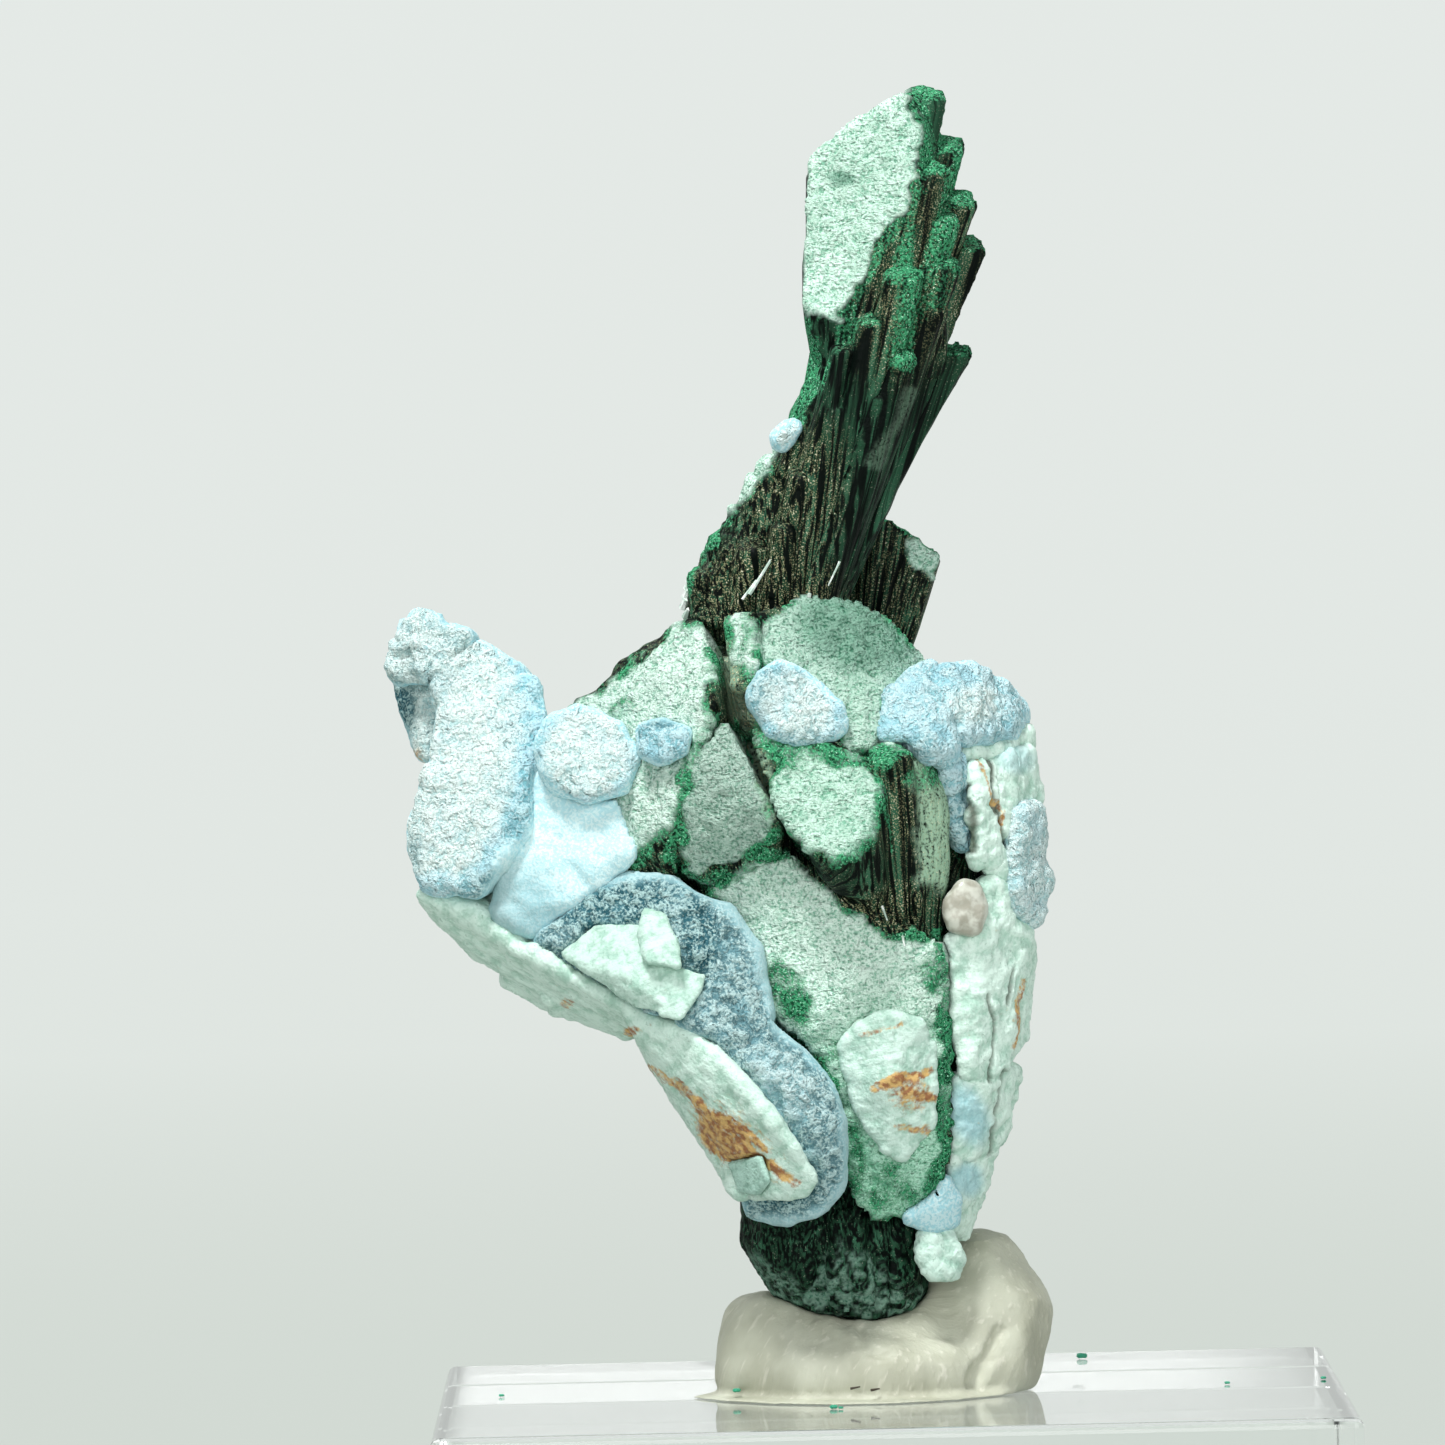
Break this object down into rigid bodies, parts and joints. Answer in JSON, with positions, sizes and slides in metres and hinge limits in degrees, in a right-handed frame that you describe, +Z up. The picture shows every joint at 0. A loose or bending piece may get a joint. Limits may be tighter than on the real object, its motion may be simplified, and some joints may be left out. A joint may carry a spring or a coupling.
{
  "type": "malachite with chrysocolla specimen",
  "caption": "Mineral specimen on a square clear block: fibrous green malachite with mint caps, a tall plume and pale blue chrysocolla lobes, held by putty, for display.",
  "frame": {"origin": "centre of the clear block's underside", "axes": "+Z up, +X to the right and +Y to the back of the specimen as it is shown"},
  "size_m": [0.0392, 0.038, 0.0666],
  "materials": {
    "malachite": "fibrous, silky on breaks, with pale mint sugary caps",
    "chrysocolla": "sugary, with smooth satin rims",
    "pale_crust": "matte to satin, stained brown in places",
    "quartz": "glassy",
    "putty": "satin, pressed by hand",
    "acrylic": "clear, polished"
  },
  "bodies": {
    "root": {"malachite_mass": "malachite", "malachite_plume": "malachite", "malachite_back_fan": "malachite", "malachite_foot": "malachite", "chrysocolla_left_lobe": "chrysocolla", "chrysocolla_lower_lobe": "chrysocolla", "chrysocolla_round_slice": "chrysocolla", "chrysocolla_small_slice": "chrysocolla", "chrysocolla_oval": "chrysocolla", "chrysocolla_right_lobe": "chrysocolla", "chrysocolla_right_edge": "chrysocolla", "chrysocolla_wedge": "chrysocolla", "chrysocolla_bead": "chrysocolla", "chrysocolla_back_left": "chrysocolla", "chrysocolla_back_right": "chrysocolla", "chrysocolla_back_lower": "chrysocolla", "chrysocolla_back_oval": "chrysocolla", "pale_chip": "pale_crust", "small_chip": "pale_crust", "stained_patch": "pale_crust", "left_crust": "pale_crust", "cracked_crust": "pale_crust", "right_crust": "pale_crust", "foot_crystal": "pale_crust", "quartz_grain": "quartz", "mounting_putty": "putty", "acrylic_block": "acrylic"}
  },
  "joints": []
}
